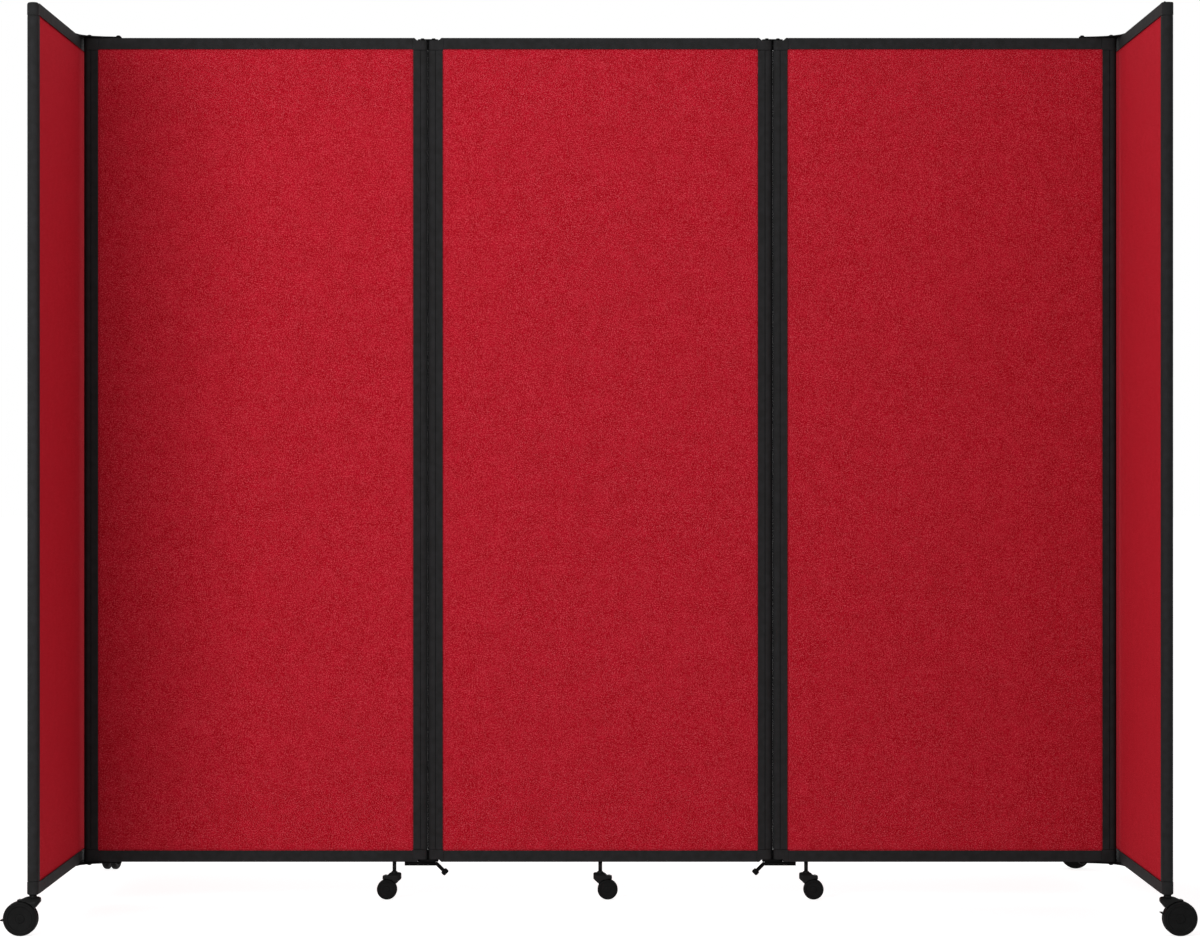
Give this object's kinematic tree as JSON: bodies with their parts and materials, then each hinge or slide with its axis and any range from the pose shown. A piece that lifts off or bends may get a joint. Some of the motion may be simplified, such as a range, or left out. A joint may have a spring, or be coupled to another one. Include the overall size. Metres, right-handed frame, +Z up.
{
  "type": "ward privacy screen on wheels",
  "caption": "Freestanding folding privacy screen: fabric panels in dark frames joined by folding hinges, a wide wing across each end, on swivel casters.",
  "frame": {"origin": "on the floor below the middle of the screen: the middle of the centre panel in X and of its thickness in Y", "axes": "+X along the row of panels to the right as seen from the front, -Y the front, +Z up"},
  "size_m": [2.6869, 1.689, 2.1036],
  "materials": {
    "frame": "satin charcoal powder coat on aluminium extrusion",
    "fabric": "woven polyester felt, mottled red",
    "black_steel": "black coated steel",
    "caster_nylon": "moulded black nylon",
    "wheels": "black moulded wheels with soft treads",
    "seal_rubber": "black extruded rubber"
  },
  "bodies": {
    "centre_panel": {"centre_panel_left_stile": "frame", "centre_panel_right_stile": "frame", "centre_panel_top_rail": "frame", "centre_panel_bottom_rail": "frame", "centre_panel_fabric_board": "fabric", "left_hinge_seal": "seal_rubber", "right_hinge_seal": "seal_rubber"},
    "left_panel": {"left_panel_left_stile": "frame", "left_panel_right_stile": "frame", "left_panel_top_rail": "frame", "left_panel_bottom_rail": "frame", "left_panel_fabric_board": "fabric"},
    "right_panel": {"right_panel_left_stile": "frame", "right_panel_right_stile": "frame", "right_panel_top_rail": "frame", "right_panel_bottom_rail": "frame", "right_panel_fabric_board": "fabric"},
    "left_hinge_links": {"left_hinge_link_top": "black_steel", "left_hinge_link_bottom": "black_steel"},
    "left_lock_lever": {"left_lock_lever": "black_steel"},
    "left_wing": {"left_wing_front_stile": "frame", "left_wing_rear_stile": "frame", "left_wing_top_rail": "frame", "left_wing_bottom_rail": "frame", "left_wing_fabric_board": "fabric", "left_corner_plate_top": "black_steel", "left_corner_plate_bottom": "black_steel", "left_corner_pin_top": "black_steel", "left_corner_pin_bottom": "black_steel"},
    "right_hinge_links": {"right_hinge_link_top": "black_steel", "right_hinge_link_bottom": "black_steel"},
    "right_lock_lever": {"right_lock_lever": "black_steel"},
    "right_wing": {"right_wing_front_stile": "frame", "right_wing_rear_stile": "frame", "right_wing_top_rail": "frame", "right_wing_bottom_rail": "frame", "right_wing_fabric_board": "fabric", "right_corner_plate_top": "black_steel", "right_corner_plate_bottom": "black_steel", "right_corner_pin_top": "black_steel", "right_corner_pin_bottom": "black_steel"},
    "row_left_caster_fork": {"row_left_caster_head": "caster_nylon"},
    "row_left_caster_wheels": {"row_left_caster_wheels": "wheels"},
    "row_centre_caster_fork": {"row_centre_caster_head": "caster_nylon"},
    "row_centre_caster_wheels": {"row_centre_caster_wheels": "wheels"},
    "row_right_caster_fork": {"row_right_caster_head": "caster_nylon"},
    "row_right_caster_wheels": {"row_right_caster_wheels": "wheels"},
    "front_left_caster_fork": {"front_left_caster_head": "caster_nylon"},
    "front_left_caster_wheels": {"front_left_caster_wheels": "wheels"},
    "front_left_caster_brake": {"front_left_caster_brake": "caster_nylon"},
    "rear_left_caster_fork": {"rear_left_caster_head": "caster_nylon"},
    "rear_left_caster_wheels": {"rear_left_caster_wheels": "wheels"},
    "rear_left_caster_brake": {"rear_left_caster_brake": "caster_nylon"},
    "front_right_caster_fork": {"front_right_caster_head": "caster_nylon"},
    "front_right_caster_wheels": {"front_right_caster_wheels": "wheels"},
    "front_right_caster_brake": {"front_right_caster_brake": "caster_nylon"},
    "rear_right_caster_fork": {"rear_right_caster_head": "caster_nylon"},
    "rear_right_caster_wheels": {"rear_right_caster_wheels": "wheels"},
    "rear_right_caster_brake": {"rear_right_caster_brake": "caster_nylon"}
  },
  "joints": [
    {"name": "left_hinge_inner", "type": "hinge", "parent": "centre_panel", "child": "left_hinge_links", "pos_m": [-0.4056, 0, 1.094], "axis": [0, 0, 1], "range_deg": [-90, 90]},
    {"name": "left_hinge_outer", "type": "hinge", "parent": "left_hinge_links", "child": "left_panel", "pos_m": [-0.4326, 0, 1.094], "axis": [0, 0, 1], "range_deg": [-90, 90]},
    {"name": "left_wing_hinge", "type": "hinge", "parent": "left_panel", "child": "left_wing", "pos_m": [-1.2438, 0, 1.094], "axis": [0, 0, -1], "range_deg": [-90, 90]},
    {"name": "left_lock_lever_turn", "type": "hinge", "parent": "left_panel", "child": "left_lock_lever", "pos_m": [-0.4641, 0, 0.092], "axis": [0, 0, 1], "range_deg": [-90, 90]},
    {"name": "right_hinge_inner", "type": "hinge", "parent": "centre_panel", "child": "right_hinge_links", "pos_m": [0.4056, 0, 1.094], "axis": [0, 0, 1], "range_deg": [-90, 90]},
    {"name": "right_hinge_outer", "type": "hinge", "parent": "right_hinge_links", "child": "right_panel", "pos_m": [0.4326, 0, 1.094], "axis": [0, 0, 1], "range_deg": [-90, 90]},
    {"name": "right_wing_hinge", "type": "hinge", "parent": "right_panel", "child": "right_wing", "pos_m": [1.2438, 0, 1.094], "axis": [0, 0, -1], "range_deg": [-90, 90]},
    {"name": "right_lock_lever_turn", "type": "hinge", "parent": "right_panel", "child": "right_lock_lever", "pos_m": [0.4641, 0, 0.092], "axis": [0, 0, 1], "range_deg": [-90, 90]},
    {"name": "row_left_caster_swivel", "type": "hinge", "parent": "left_panel", "child": "row_left_caster_fork", "pos_m": [-0.501, 0, 0.0246], "axis": [0, 0, 1], "continuous": true},
    {"name": "row_left_caster_roll", "type": "hinge", "parent": "row_left_caster_fork", "child": "row_left_caster_wheels", "pos_m": [-0.519, 0, 0.0246], "axis": [0, -1, 0], "continuous": true},
    {"name": "row_centre_caster_swivel", "type": "hinge", "parent": "centre_panel", "child": "row_centre_caster_fork", "pos_m": [0, 0, 0.0246], "axis": [0, 0, 1], "continuous": true},
    {"name": "row_centre_caster_roll", "type": "hinge", "parent": "row_centre_caster_fork", "child": "row_centre_caster_wheels", "pos_m": [0.018, 0, 0.0246], "axis": [0, 1, 0], "continuous": true},
    {"name": "row_right_caster_swivel", "type": "hinge", "parent": "right_panel", "child": "row_right_caster_fork", "pos_m": [0.501, 0, 0.0246], "axis": [0, 0, -1], "continuous": true},
    {"name": "row_right_caster_roll", "type": "hinge", "parent": "row_right_caster_fork", "child": "row_right_caster_wheels", "pos_m": [0.519, 0, 0.0246], "axis": [0, 1, 0], "continuous": true},
    {"name": "front_left_caster_swivel", "type": "hinge", "parent": "left_wing", "child": "front_left_caster_fork", "pos_m": [-1.2738, -0.8255, 0.0389], "axis": [0, 0, 1], "continuous": true},
    {"name": "front_left_caster_roll", "type": "hinge", "parent": "front_left_caster_fork", "child": "front_left_caster_wheels", "pos_m": [-1.3013, -0.8255, 0.0389], "axis": [0, -1, 0], "continuous": true},
    {"name": "front_left_caster_brake_lift", "type": "hinge", "parent": "front_left_caster_fork", "child": "front_left_caster_brake", "pos_m": [-1.3013, -0.8255, 0.0389], "axis": [0, 1, 0], "range_deg": [0, 20]},
    {"name": "rear_left_caster_swivel", "type": "hinge", "parent": "left_wing", "child": "rear_left_caster_fork", "pos_m": [-1.2738, 0.8255, 0.0389], "axis": [0, 0, 1], "continuous": true},
    {"name": "rear_left_caster_roll", "type": "hinge", "parent": "rear_left_caster_fork", "child": "rear_left_caster_wheels", "pos_m": [-1.27858, 0.79842, 0.0389], "axis": [0.9848, -0.1736, 0], "continuous": true},
    {"name": "rear_left_caster_brake_lift", "type": "hinge", "parent": "rear_left_caster_fork", "child": "rear_left_caster_brake", "pos_m": [-1.27858, 0.79842, 0.0389], "axis": [-0.9848, 0.1736, 0], "range_deg": [0, 20]},
    {"name": "front_right_caster_swivel", "type": "hinge", "parent": "right_wing", "child": "front_right_caster_fork", "pos_m": [1.2738, -0.8255, 0.0389], "axis": [0, 0, -1], "continuous": true},
    {"name": "front_right_caster_roll", "type": "hinge", "parent": "front_right_caster_fork", "child": "front_right_caster_wheels", "pos_m": [1.3013, -0.8255, 0.0389], "axis": [0, 1, 0], "continuous": true},
    {"name": "front_right_caster_brake_lift", "type": "hinge", "parent": "front_right_caster_fork", "child": "front_right_caster_brake", "pos_m": [1.3013, -0.8255, 0.0389], "axis": [0, -1, 0], "range_deg": [0, 20]},
    {"name": "rear_right_caster_swivel", "type": "hinge", "parent": "right_wing", "child": "rear_right_caster_fork", "pos_m": [1.2738, 0.8255, 0.0389], "axis": [0, 0, -1], "continuous": true},
    {"name": "rear_right_caster_roll", "type": "hinge", "parent": "rear_right_caster_fork", "child": "rear_right_caster_wheels", "pos_m": [1.2463, 0.8255, 0.0389], "axis": [0, -1, 0], "continuous": true},
    {"name": "rear_right_caster_brake_lift", "type": "hinge", "parent": "rear_right_caster_fork", "child": "rear_right_caster_brake", "pos_m": [1.2463, 0.8255, 0.0389], "axis": [0, 1, 0], "range_deg": [0, 20]}
  ]
}
